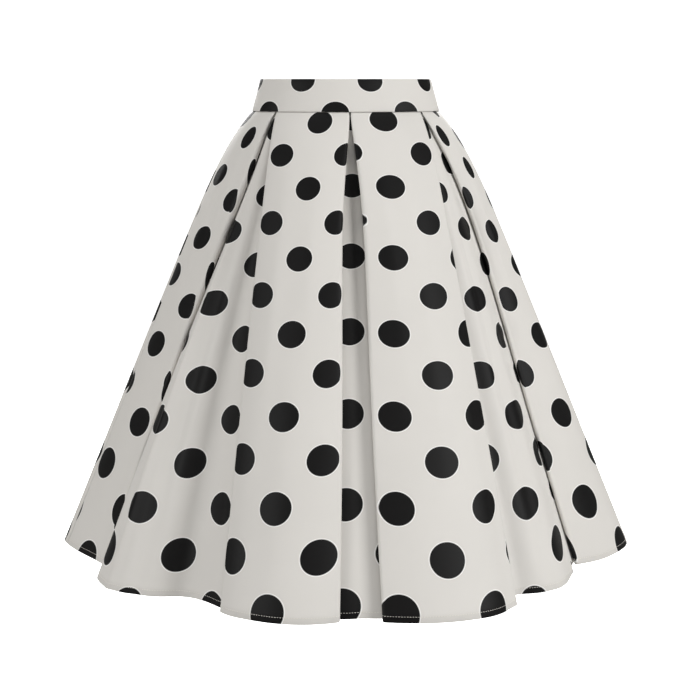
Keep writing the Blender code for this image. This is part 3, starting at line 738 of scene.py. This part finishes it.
def make_printed_cloth(name, ground_hex, fleck_hex, ring_hex, dot_hex, dot_strength):
    """Sateen with a dot print. On the wrong side the dots only show through."""
    material, shader = new_material(name)
    uv = add_node(material, "ShaderNodeUVMap", uv_map="print")
    split = add_node(material, "ShaderNodeSeparateXYZ", {"Vector": uv.outputs["UV"]})
    column = split.outputs["X"]
    row = split.outputs["Y"]
    leftovers = []
    for operation in ("ADD", "SUBTRACT"):
        half = calculate(material, "MULTIPLY", calculate(material, operation, column, row), 0.5)
        whole = add_node(material, "ShaderNodeMath", {0: half}, operation="ROUND")
        leftovers.append(calculate(material, "SUBTRACT", half, whole.outputs["Value"]))
    across = calculate(material, "DIVIDE", calculate(material, "ADD", *leftovers), DOT_ACROSS)
    along = calculate(material, "DIVIDE", calculate(material, "SUBTRACT", *leftovers), DOT_DOWN)
    offset = add_node(material, "ShaderNodeCombineXYZ", {"X": across, "Y": along})
    distance = add_node(material, "ShaderNodeVectorMath", {0: offset.outputs["Vector"]}, operation="LENGTH")
    from_dot = distance.outputs["Value"]

    place = add_node(material, "ShaderNodeTexCoord")
    mottle = add_node(material, "ShaderNodeTexNoise", {"Vector": place.outputs["Object"]},
                      {"Scale": 9.0, "Detail": 3.0, "Roughness": 0.55})
    ground = add_node(material, "ShaderNodeMix", {"Factor": mottle.outputs["Fac"]},
                      {"A": from_hex(ground_hex), "B": from_hex(fleck_hex)}, data_type="RGBA")
    colour = ground.outputs["Result"]
    for hex_code, edge_from, edge_to, strength in (
            (ring_hex, 1.0 + PALE_RING, 1.0 + PALE_RING + DOT_EDGE, 1.0),
            (dot_hex, 1.0 - DOT_EDGE, 1.0 + DOT_EDGE, dot_strength)):
        mask = add_node(material, "ShaderNodeMapRange", {"Value": from_dot},
                        {"From Min": edge_from, "From Max": edge_to, "To Min": strength, "To Max": 0.0},
                        interpolation_type="SMOOTHSTEP")
        printed = add_node(material, "ShaderNodeMix", {"Factor": mask.outputs["Result"], "A": colour},
                           {"B": from_hex(hex_code)}, data_type="RGBA")
        colour = printed.outputs["Result"]
    material.node_tree.links.new(colour, shader.inputs["Base Color"])

    spun = add_node(material, "ShaderNodeTexNoise", {"Vector": uv.outputs["UV"]},
                    {"Scale": 60.0, "Detail": 2.0})
    rough = add_node(material, "ShaderNodeMapRange", {"Value": spun.outputs["Fac"]},
                     {"To Min": 0.50, "To Max": 0.62})
    material.node_tree.links.new(rough.outputs["Result"], shader.inputs["Roughness"])

    threads = UV_UNIT_MM / THREAD_SPACING_MM / WAVES_PER_UNIT
    warp = add_node(material, "ShaderNodeTexWave", {"Vector": uv.outputs["UV"]},
                    {"Scale": threads, "Distortion": 0.4, "Detail": 1.0}, bands_direction="X")
    weft = add_node(material, "ShaderNodeTexWave", {"Vector": uv.outputs["UV"]},
                    {"Scale": threads, "Distortion": 0.4, "Detail": 1.0}, bands_direction="Y")
    weave = calculate(material, "MULTIPLY", warp.outputs["Fac"], weft.outputs["Fac"])
    add_relief(material, shader, weave, 0.25, 0.00008)
    shader.inputs["IOR"].default_value = 1.46
    shader.inputs["Specular IOR Level"].default_value = 0.2
    shader.inputs["Sheen Weight"].default_value = 0.03
    shader.inputs["Sheen Roughness"].default_value = 0.4
    return material


sateen_right_side = make_printed_cloth("printed_cotton_sateen", "D0CDC8", "D6D3CE", "EAE8E5", "070606", 1.0)
sateen_wrong_side = make_printed_cloth("wrong_side_of_sateen", "CBC6BD", "D0CBC3", "D8D4CC", "8E8A84", 0.35)
print("materials:", sateen_right_side.name, sateen_wrong_side.name)

# %% [markdown]
# ## The skirt's cloth
#
# A sheet of cloth could be simulated, but this one is pleated, pressed and held by a band, and the picture
# fixes its folds. So each piece starts as a flat grid from one bmesh operator, and each of its points is
# then moved to its place: columns of the grid go round the ring and rows go down to the hem. The last rows
# turn up inside to make the hem. A Solidify modifier gives the cloth its thickness.

# %% Rows from the waist to the turned-up hem
ROWS_DOWN = 78
ROW_CROWDING = 1.4
HEM_TURN = 0.0011
HEM_DEPTH = 0.009
HEM_TURNS = 4
HEM_ROWS = (0.35, 0.7, 1.0)
BEND_Z = HEM_Z + HEM_TURN / 2 + CLOTH_WALL / 2
SEAM_DIP = 0.0006
SEAM_DIP_REACH = 0.0022


def cloth_rows():
    """Each row's height, its share of the drop, and how far it lies inside the outer cloth."""
    rows = []
    for index in range(ROWS_DOWN + 1):
        down = (index / ROWS_DOWN) ** ROW_CROWDING
        rows.append((SEAM_Z - down * (SEAM_Z - BEND_Z), down, 0.0))
    for index in range(1, HEM_TURNS + 1):
        turn = pi * index / HEM_TURNS
        rows.append((BEND_Z - sin(turn) * HEM_TURN / 2, 1.0, (1 - cos(turn)) * HEM_TURN / 2))
    for share in HEM_ROWS:
        rows.append((BEND_Z + share * HEM_DEPTH, 1.0 - share * HEM_DEPTH / (SEAM_Z - BEND_Z), HEM_TURN))
    return rows


CLOTH_ROWS = cloth_rows()
print("rows of points:", len(CLOTH_ROWS))


# %% A grid laid on its rows
def add_piece(name, shape, *materials):
    """Turn a finished bmesh into a smooth-shaded object with its materials."""
    mesh = bpy.data.meshes.new(name)
    shape.to_mesh(mesh)
    shape.free()
    for material in materials:
        mesh.materials.append(material)
    mesh.shade_smooth()
    piece = bpy.data.objects.new(name, mesh)
    bpy.context.collection.objects.link(piece)
    return piece


def sheet_from_rows(name, rows, prints, thickness, materials):
    """A sheet of cloth through rows of points, with its print's coordinates, given its thickness."""
    columns = len(rows[0])
    shape = bmesh.new()
    bmesh.ops.create_grid(shape, x_segments=columns - 1, y_segments=len(rows) - 1, size=1.0)
    shape.verts.ensure_lookup_table()
    spots = {}
    for vertex in shape.verts:
        column = round((vertex.co.x + 1) / 2 * (columns - 1))
        row = round((1 - vertex.co.y) / 2 * (len(rows) - 1))
        vertex.co = rows[row][column]
        spots[vertex.index] = prints[row][column]
    layer = shape.loops.layers.uv.new("print")
    for face in shape.faces:
        for loop in face.loops:
            loop[layer].uv = spots[loop.vert.index]
    sheet = add_piece(name, shape, *materials)
    solid = sheet.modifiers.new("cloth_thickness", "SOLIDIFY")
    solid.thickness = thickness
    solid.offset = 0.0
    solid.material_offset = len(materials) - 1
    solid.use_rim = True
    return sheet


# %% [markdown]
# The next cell makes the front and the two back halves. The flat size that is worked out and printed for each
# is what a cutter would need: the length round the hem with the pleats let out, and the length down the
# slope.

# %% The three pieces of the skirt
def make_skirt_piece(name, seam_from, seam_to, parts):
    """One cut piece of the skirt, pleated and hemmed."""
    runs = piece_runs(seam_from, seam_to, parts)
    rows = []
    prints = []
    for height, down, inside in CLOTH_ROWS:
        under_band = SEAM_DIP * exp(-((SEAM_Z - height) / SEAM_DIP_REACH) ** 2)
        line = sideways(ring(runs, down), -inside - under_band)
        line = dipped_at_seams(line, SEAM_DIP, SEAM_DIP_REACH)
        rows.append([(place.x, place.y, height) for place in line])
        prints.append(ring_print(runs, down))
    piece = sheet_from_rows(name, rows, prints, CLOTH_WALL, [sateen_right_side, sateen_wrong_side])
    waist_length = lengths_along(ring(runs, 0.0))[-1]
    hem_length = lengths_along(ring(runs, 1.0))[-1]
    middle = len(rows[0]) // 2
    slope = lengths_along([Vector(row[middle]) for row in rows])[-1]
    area = (waist_length + hem_length) / 2 * slope
    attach(piece, "skirt")
    print("%s: %.0f mm at the waist, %.0f mm at the hem, %.0f mm long, %.3f square metres"
          % (name, waist_length / MM, hem_length / MM, slope / MM, area))
    return piece, runs, (hem_length, slope), area


CutPiece = namedtuple("CutPiece", "node seam_from seam_to parts")
CUT_PIECES = (
    CutPiece("front", -SIDE_SEAM, SIDE_SEAM, FRONT_PARTS),
    CutPiece("back_right", SIDE_SEAM, HALF_ROUND, BACK_RIGHT_PARTS),
    CutPiece("back_left", -HALF_ROUND, -SIDE_SEAM, BACK_LEFT_PARTS),
)
skirt_pieces = {}
for cut in CUT_PIECES:
    skirt_pieces[cut.node] = make_skirt_piece(cut.node + "_cloth", cut.seam_from, cut.seam_to, cut.parts)
    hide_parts(cut.node)

# %% [markdown]
# ## Thread
#
# Stitches show along the hem, and inside on the zip's tape. A stitch is a short bead of thread that dips
# into the cloth at both ends. It is so small that six sides are enough for it, and there are hundreds, so
# all the stitches of a row are one mesh.

# %% Thread and its stitches
STITCH_LENGTH = 0.0026
STITCH_GAP = 0.0009
STITCH_SIDES = 6
STITCH_BODY = 0.55
THREAD_RADIUS = 0.00028
HEM_STITCH_HEIGHT = 0.0075
PLY_SPACING_MM = 0.6

# Spun polyester thread is matt, and the slant of its plies is a fine relief.
plies = Grain("ShaderNodeTexWave", {"Scale": 1000 / PLY_SPACING_MM / WAVES_PER_UNIT}, 0.4, 0.0001)
thread = plain_material("spun_polyester_thread", "E6E2DA", 0.7, plies, turned=(35, 20, 40))


def add_stitch(shape, start, end, outward):
    """One bead of thread between two points on the cloth, thickest in its middle."""
    along = end - start
    across = along.normalized().cross(outward)
    made = bmesh.ops.create_cone(shape, cap_ends=True, segments=STITCH_SIDES, radius1=THREAD_RADIUS,
                                 radius2=THREAD_RADIUS, depth=along.length * STITCH_BODY)
    turn = Matrix((across, outward, along.normalized())).transposed().to_4x4()
    turn.translation = (start + end) / 2
    bmesh.ops.transform(shape, matrix=turn, verts=made["verts"])
    faces = dict.fromkeys(face for vertex in made["verts"] for face in vertex.link_faces)
    for cap in [face for face in faces if len(face.verts) == STITCH_SIDES]:
        further = cap.calc_center_median().dot(along) > turn.translation.dot(along)
        tip = bmesh.ops.poke(shape, faces=[cap])["verts"][0]
        tip.co = (end if further else start) - outward * THREAD_RADIUS


def level_outward(start, end):
    """The way out of the cloth for a stitch on a level line round the skirt."""
    along = (end - start).normalized()
    return Vector((along.y, -along.x, 0.0))


def stitch_row(name, points, outward_of):
    """A row of stitches along a line of points. outward_of gives each stitch the way out of the cloth."""
    shape = bmesh.new()
    at = lengths_along(points)
    places = np.array([tuple(point) for point in points])

    def along(distance):
        return Vector([float(np.interp(distance, at, places[:, axis])) for axis in range(3)])

    pitch = STITCH_LENGTH + STITCH_GAP
    for index in range(int(at[-1] / pitch)):
        start = along(index * pitch + STITCH_GAP / 2)
        end = along(index * pitch + STITCH_GAP / 2 + STITCH_LENGTH)
        add_stitch(shape, start, end, outward_of(start, end))
    bmesh.ops.recalc_face_normals(shape, faces=shape.faces)
    row = add_piece(name, shape, thread)
    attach(row, "skirt")
    return row


# %% The hem's stitches
for node, (piece, runs, flat, area) in skirt_pieces.items():
    height = HEM_Z + HEM_STITCH_HEIGHT
    line = sideways(ring(runs, (SEAM_Z - height) / (SEAM_Z - BEND_Z)), CLOTH_WALL / 2 + THREAD_RADIUS)
    points = [Vector((place.x, place.y, height)) for place in line]
    hem_row = stitch_row(node + "_hem_stitches", points, level_outward)
    print(hem_row.name, len(hem_row.data.polygons), "faces")

# %% [markdown]
# ## The waistband
#
# A waistband is a strip folded over at its top edge, with stiffening between its two layers. So it is one
# sheet here too: up the outside from the waist seam, over the top in a tight half circle, and down the
# inside. The two layers together have the band's full thickness.

# %% The waistband's three pieces
BAND_CLOTH = 0.0008
BAND_STEP_MM = 4.0
BAND_COLUMN = 0.0475
BAND_FIRST_COLUMN_AT = 0.0287
BAND_ROW = 0.0427
BAND_FIRST_ROW_Z = 0.020
BAND_TURNS = 6
BAND_ROWS = 7
FOOT_DIP = 0.0003
FOOT_DIP_HEIGHT = 0.0008
SLIT_HALF_WIDTH = 0.0008
SLIDER_BELOW_TOP = 0.0085
SLIDER_HALF_HEIGHT = 0.0042
SLIT_BOTTOM = TOP_Z - SLIDER_BELOW_TOP - SLIDER_HALF_HEIGHT


def band_profile():
    """The band's section: each point's height and how far out it lies from the band's middle."""
    out = (BAND_WALL - BAND_CLOTH) / 2
    bend_z = TOP_Z - out - BAND_CLOTH / 2
    foot_z = SEAM_Z + SEAM_GAP + BAND_CLOTH / 2
    rows = [(foot_z, out - FOOT_DIP)]
    rows += [(float(height), out) for height in np.linspace(foot_z + FOOT_DIP_HEIGHT, bend_z, BAND_ROWS + 1)]
    for index in range(1, BAND_TURNS + 1):
        turn = pi * index / BAND_TURNS
        rows.append((bend_z + sin(turn) * out, cos(turn) * out))
    rows += [(float(height), -out) for height in np.linspace(bend_z, foot_z, BAND_ROWS + 1)[1:]]
    return rows[::-1]


def band_line(height, share_from, share_to, count):
    """Points round the waistband's middle at a height, between two shares of the way from front to back."""
    down = (TOP_Z - height) / BAND_HEIGHT
    line = []
    for share in np.linspace(share_from, share_to, count + 1):
        top_point = TOP_OVAL.point(share * TOP_OVAL.half_round)
        seam_point = SEAM_OVAL.point(share * HALF_ROUND)
        line.append(top_point.lerp(seam_point, down))
    return line


def make_band_piece(name, share_from, share_to, slit_end):
    """One piece of the waistband. Near the top, its end at slit_end leaves room for the zip's slider."""
    count = round((share_to - share_from) * HALF_ROUND / MM / BAND_STEP_MM)
    distances = lengths_along(band_line((TOP_Z + SEAM_Z) / 2, share_from, share_to, count))
    from_front = share_from * (TOP_OVAL.half_round + HALF_ROUND) / 2 - BAND_FIRST_COLUMN_AT
    rows = []
    prints = []
    for height, out in band_profile():
        line = band_line(height, share_from, share_to, count)
        line = dipped_at_seams(sideways(line, out), SEAM_DIP / 2 if out > 0 else 0.0, SEAM_DIP_REACH)
        if slit_end is not None and height > SLIT_BOTTOM:
            edge = line[slit_end]
            inner = line[1] if slit_end == 0 else line[-2]
            line[slit_end] = edge + (inner - edge).normalized() * (SLIT_HALF_WIDTH - SEAM_GAP / 2)
        rows.append([(place.x, place.y, height) for place in line])
        row = (BAND_FIRST_ROW_Z - height) / BAND_ROW
        prints.append([((from_front + distance) / BAND_COLUMN, row) for distance in distances])
    piece = sheet_from_rows(name, rows, prints, BAND_CLOTH, [sateen_right_side, sateen_wrong_side])
    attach(piece, "skirt")
    return piece


BandPiece = namedtuple("BandPiece", "node share_from share_to slit_end")
BAND_PIECES = (
    BandPiece("waistband_front", -0.5, 0.5, None),
    BandPiece("waistband_back_right", 0.5, 1.0, -1),
    BandPiece("waistband_back_left", -1.0, -0.5, 0),
)
for band in BAND_PIECES:
    band_cloth = make_band_piece(band.node + "_cloth", band.share_from, band.share_to, band.slit_end)
    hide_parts(band.node)

# %% [markdown]
# ## The zip
#
# A concealed zip has a woven polyester tape, a nylon coil and a small slider of cast zinc under enamel. Its
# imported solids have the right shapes, so they stay, with materials that say what they are made of. A Bevel
# modifier rounds the edges of the tab, which a casting never has sharp.

# %% Materials for the zip
RIB_SPACING_MM = 1.2
CAST_EDGE = 0.00018

# The tape is woven polyester with a ribbed weave.
rib = Grain("ShaderNodeTexWave", {"Scale": 1000 / RIB_SPACING_MM / WAVES_PER_UNIT, "Distortion": 1.0},
            0.5, 0.0002)
tape_cloth = plain_material("woven_polyester_tape", "DAD5CC", 0.75, rib)

# Enamel over cast zinc is smooth, with a clear top coat and the faint orange peel of paint.
peel = Grain("ShaderNodeTexNoise", {"Scale": 1400.0, "Detail": 2.0}, 0.2, 0.00005)
enamel = plain_material("ivory_enamel_on_zinc", "DCD7CC", 0.38, peel)
enamel_shader = enamel.node_tree.nodes["Principled BSDF"]
enamel_shader.inputs["Coat Weight"].default_value = 0.2
enamel_shader.inputs["Coat Roughness"].default_value = 0.12

# Extruded nylon is smooth, with faint lines left by the die.
die_lines = Grain("ShaderNodeTexNoise", {"Scale": 2500.0, "Detail": 1.0}, 0.2, 0.00003)
nylon = plain_material("extruded_nylon_coil", "E4E0D8", 0.35, die_lines)

for node, material in (("zip_tape", tape_cloth), ("zip_slider", enamel), ("zip_pull", enamel)):
    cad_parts[node].data.materials.clear()
    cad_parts[node].data.materials.append(material)
soft_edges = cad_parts["zip_pull"].modifiers.new("cast_edges", "BEVEL")
soft_edges.width = CAST_EDGE
soft_edges.segments = 2
soft_edges.limit_method = "ANGLE"
print("zip materials:", tape_cloth.name, enamel.name, nylon.name)

# %% [markdown]
# The coil is a row of nylon loops that reach over from the left and from the right in turn, with a lock
# stitch up each side of the tape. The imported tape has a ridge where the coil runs, so its own points say
# where the loops go.

# %% The coil's loops and the stitches on the tape
TOOTH_PITCH = 0.0007
TOOTH_SIZE = (0.0012, 0.00042, 0.00042)
TOOTH_SHIFT = 0.0003
COIL_STANDS = 0.0014
TAPE_STITCHES_AT = 0.008
TAPE_CURVE_RADIUS = 0.13


def coil_line():
    """The coil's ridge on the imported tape: heights from low to high, and how far back it is at each."""
    ridge = {}
    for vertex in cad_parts["zip_tape"].data.vertices:
        if abs(vertex.co.x) < TOOTH_SIZE[0]:
            height = round(vertex.co.z, 5)
            ridge[height] = min(vertex.co.y, ridge.get(height, vertex.co.y))
    heights = sorted(ridge)
    return heights, [ridge[height] for height in heights]


def make_coil(heights, backs):
    """The closed coil: small loops across the zip, shifted to the left and to the right in turn."""
    shape = bmesh.new()
    for index in range(int((heights[-1] - heights[0]) / TOOTH_PITCH)):
        height = heights[0] + (index + 0.5) * TOOTH_PITCH
        shift = TOOTH_SHIFT if index % 2 else -TOOTH_SHIFT
        tooth = bmesh.ops.create_uvsphere(shape, u_segments=8, v_segments=6, radius=1.0)["verts"]
        bmesh.ops.scale(shape, vec=TOOTH_SIZE, verts=tooth)
        bmesh.ops.translate(shape, vec=(shift, np.interp(height, heights, backs), height), verts=tooth)
    coil = add_piece("zip_coil", shape, nylon)
    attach(coil, "skirt")
    return coil


coil_heights, coil_backs = coil_line()
print("coil:", len(make_coil(coil_heights, coil_backs).data.polygons), "faces")
for name, across in (("left", -TAPE_STITCHES_AT), ("right", TAPE_STITCHES_AT)):
    lift = COIL_STANDS - across**2 / (2 * TAPE_CURVE_RADIUS) - THREAD_RADIUS
    points = [Vector((across, back + lift, height)) for height, back in zip(coil_heights, coil_backs)]
    stitch_row("zip_stitches_" + name, points, lambda start, end: Vector((0.0, -1.0, 0.0)))

# %% [markdown]
# ## The studio
#
# The skirt hangs in a white studio: a floor that curves up into a wall all round, so that no edge shows
# from any side, and large soft lights. The floor lies as far below the hem as it would under someone who
# wears the skirt. The profile of floor and wall is spun round the upright axis.

# %% Floor and backdrop
FLOOR_Z = -1.05
FLOOR_RADIUS = 5.0
WALL_CURVE = 1.6
WALL_TOP = 5.0
WALL_CURVE_STEPS = 8
STEPS_ROUND = 64
PAPER_GLOW = 0.8


def make_paper():
    """White paper, lit brightly for the eye, that sends less light back onto the cloth than it shows."""
    paper, shader = new_material("white_studio_paper")
    tree = paper.node_tree
    tree.nodes.remove(shader)
    rays = add_node(paper, "ShaderNodeLightPath")
    dim = add_node(paper, "ShaderNodeBsdfDiffuse", values={"Color": from_hex("9C9B99")})
    white = add_node(paper, "ShaderNodeBsdfDiffuse", values={"Color": from_hex("F4F4F3")})
    lit = add_node(paper, "ShaderNodeEmission", values={"Color": from_hex("FFFFFF"), "Strength": PAPER_GLOW})
    bright = add_node(paper, "ShaderNodeAddShader", {0: white.outputs[0], 1: lit.outputs[0]})
    seen = add_node(paper, "ShaderNodeMixShader", {0: rays.outputs["Is Camera Ray"], 1: dim.outputs[0],
                                                   2: bright.outputs[0]})
    tree.links.new(seen.outputs[0], tree.nodes["Material Output"].inputs["Surface"])
    return paper


def make_backdrop():
    """A round floor that sweeps up into a wall."""
    shape = bmesh.new()
    flat_radius = FLOOR_RADIUS - WALL_CURVE
    places = [(0.0, 0.0, FLOOR_Z)]
    for index in range(WALL_CURVE_STEPS + 1):
        turn = pi / 2 * index / WALL_CURVE_STEPS
        places.append((flat_radius + WALL_CURVE * sin(turn), 0.0, FLOOR_Z + WALL_CURVE * (1 - cos(turn))))
    places.append((FLOOR_RADIUS, 0.0, WALL_TOP))
    profile = [shape.verts.new(place) for place in places]
    edges = [shape.edges.new(pair) for pair in zip(profile, profile[1:])]
    bmesh.ops.spin(shape, geom=profile + edges, cent=(0, 0, 0), axis=(0, 0, 1), angle=2 * pi,
                   steps=STEPS_ROUND, use_merge=True)
    bmesh.ops.remove_doubles(shape, verts=shape.verts, dist=0.0001)
    bmesh.ops.recalc_face_normals(shape, faces=shape.faces)
    return add_piece("studio_floor", shape, make_paper())


make_backdrop()

# %% [markdown]
# Two large lights stand in front at the sides, the right one stronger. They look past the folds, so the
# cloth inside the pleats stays in the shade. Weaker ones in front and above soften that shade, and two
# behind light the back.

# %% Lights and surroundings
LIGHTS_AIM_AT = Vector((0.0, 0.0, -0.3))
ROOM_LIGHT = 0.38
Light = namedtuple("Light", "name place size power")
LIGHTS = (
    Light("right_light", (2.45, -1.90, 0.8), 1.3, 78.0),
    Light("left_light", (-2.65, -1.5, 0.5), 1.5, 48.0),
    Light("front_light", (0.3, -3.2, 0.9), 1.6, 12.0),
    Light("top_light", (0.0, 0.6, 2.6), 2.0, 14.0),
    Light("back_light_right", (0.9, 3.0, 0.8), 1.3, 50.0),
    Light("back_light_left", (-0.9, 3.0, 0.8), 1.3, 40.0),
)
for light in LIGHTS:
    lamp = bpy.data.lights.new(light.name, "AREA")
    lamp.shape = "DISK"
    lamp.size = light.size
    lamp.energy = light.power
    holder = bpy.data.objects.new(light.name, lamp)
    holder.location = light.place
    towards = LIGHTS_AIM_AT - holder.location
    holder.rotation_euler = towards.to_track_quat("-Z", "Y").to_euler()
    bpy.context.collection.objects.link(holder)

world = bpy.data.worlds.new("white_surroundings")
bpy.context.scene.world = world
world.use_nodes = True
background = world.node_tree.nodes["Background"]
background.inputs["Color"].default_value = (1.0, 1.0, 1.0, 1.0)
background.inputs["Strength"].default_value = ROOM_LIGHT
bpy.context.scene.view_settings.view_transform = "Standard"
print("lights:", len(LIGHTS))

# %% [markdown]
# ## The camera
#
# The picture was taken from a little above the waist's height and a few degrees to the left, with a long
# lens. The camera stands level with the waistband's top edge and looks slightly down.

# %% Camera
CAMERA_DISTANCE = 2.3
CAMERA_AZIMUTH = radians(-3.5)
CAMERA_TILT = radians(9.36)
CAMERA_LENS_MM = 84.57
FRAME_SHIFT = 0.006
camera_data = bpy.data.cameras.new("camera")
camera_data.sensor_width = 36.0
camera_data.lens = CAMERA_LENS_MM
camera_data.shift_x = FRAME_SHIFT
camera = bpy.data.objects.new("camera", camera_data)
camera.location = (CAMERA_DISTANCE * sin(CAMERA_AZIMUTH), -CAMERA_DISTANCE * cos(CAMERA_AZIMUTH), TOP_Z)
camera.rotation_euler = (pi / 2 - CAMERA_TILT, 0.0, CAMERA_AZIMUTH)
bpy.context.collection.objects.link(camera)
bpy.context.scene.camera = camera
print("camera at", [round(value, 3) for value in camera.location])
